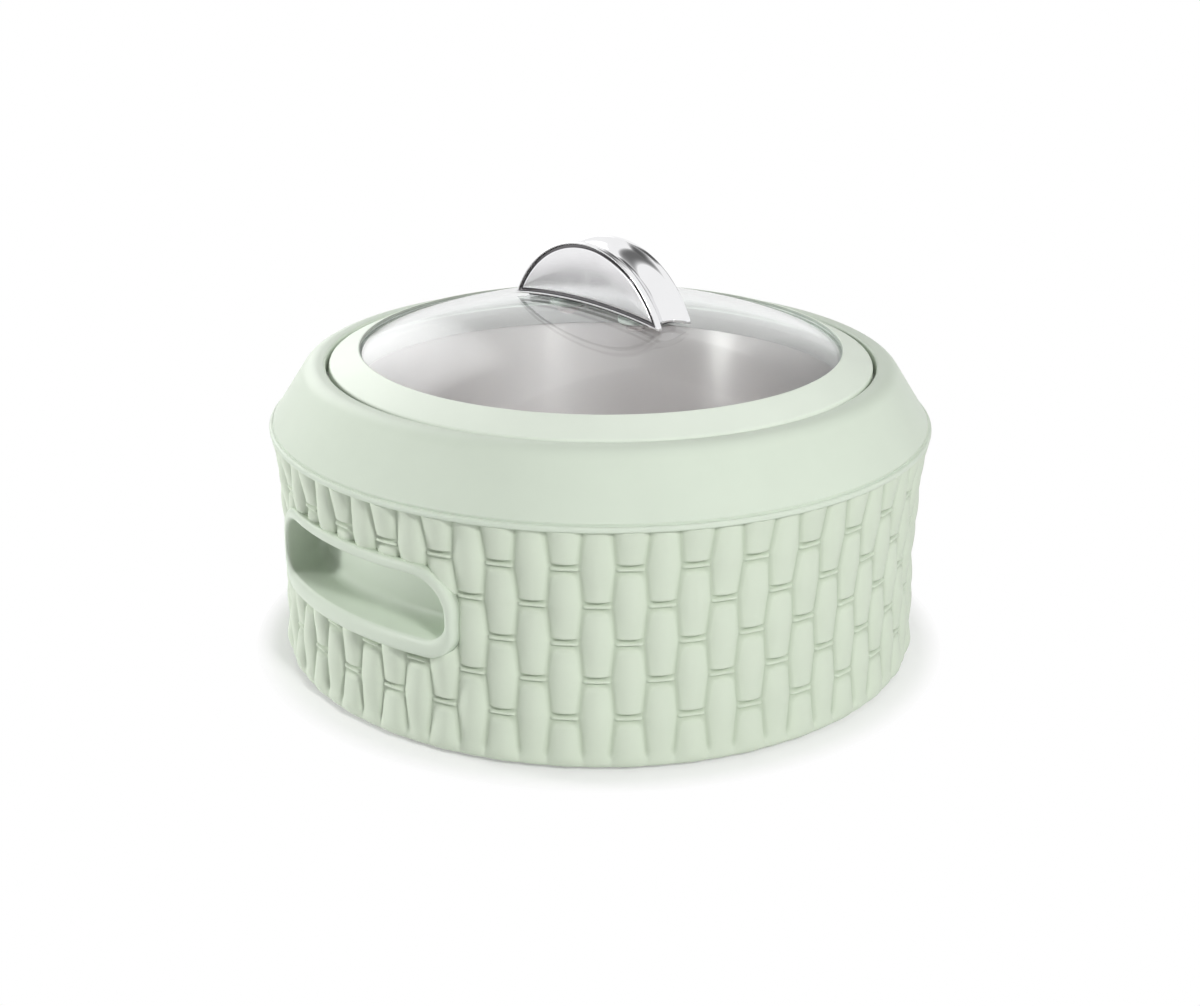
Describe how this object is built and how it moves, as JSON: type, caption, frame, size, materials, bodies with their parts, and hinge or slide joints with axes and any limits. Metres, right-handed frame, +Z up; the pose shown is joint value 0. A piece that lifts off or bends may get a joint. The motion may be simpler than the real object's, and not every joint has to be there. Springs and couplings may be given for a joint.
{
  "type": "insulated casserole",
  "caption": "Round insulated casserole with a woven-look wall, recessed finger grips, a steel bowl and a lift-off glass lid with a half-moon handle; keeps food warm at the table.",
  "frame": {"origin": "on the table under the middle of the body, at the height of the feet's lower faces", "axes": "+Z up along the body's axis, the finger grips face -X and +X, the handle's length runs along Y"},
  "size_m": [0.2444, 0.2444, 0.152],
  "materials": {
    "woven_plastic": "fine matt moulding grain",
    "smooth_plastic": "smooth satin",
    "lid_plastic": "smooth satin",
    "retainer_plastic": "smooth, off-white",
    "bowl_steel": "brushed round the wall",
    "clear_glass": "clear polished",
    "handle_chrome": "polished",
    "handle_satin": "frosted satin",
    "soft_seal": "translucent silicone",
    "pad_rubber": "matt",
    "foot_rubber": "matt",
    "foam": "rigid foam, foamed in place",
    "insert_brass": "turned",
    "screw_steel": "plain"
  },
  "bodies": {
    "base": {"outer_body": "woven_plastic", "grip_left": "smooth_plastic", "grip_right": "smooth_plastic", "collar": "smooth_plastic", "inner_bowl": "bowl_steel", "bowl_seal": "soft_seal", "base_cover": "smooth_plastic", "foam_plug": "smooth_plastic", "feet": "foot_rubber", "insulation_foam": "foam"},
    "seal": {"lid_seal": "soft_seal"},
    "lid": {"lid_ring": "lid_plastic", "glass_dome": "clear_glass", "glass_gasket": "soft_seal", "lid_retainer": "retainer_plastic", "handle_grip": "handle_chrome", "handle_face_left": "handle_satin", "handle_face_right": "handle_satin", "handle_pad": "pad_rubber", "handle_inserts": "insert_brass", "handle_grommets": "soft_seal", "handle_washers": "screw_steel", "handle_screws": "screw_steel"}
  },
  "joints": [
    {"name": "lid_lift", "type": "slide", "parent": "base", "child": "seal", "axis": [0, 0, 1], "range_m": [0, 0.1]},
    {"name": "lid_turn", "type": "hinge", "parent": "seal", "child": "lid", "pos_m": [0, 0, 0.11], "axis": [0, 0, 1], "continuous": true}
  ]
}
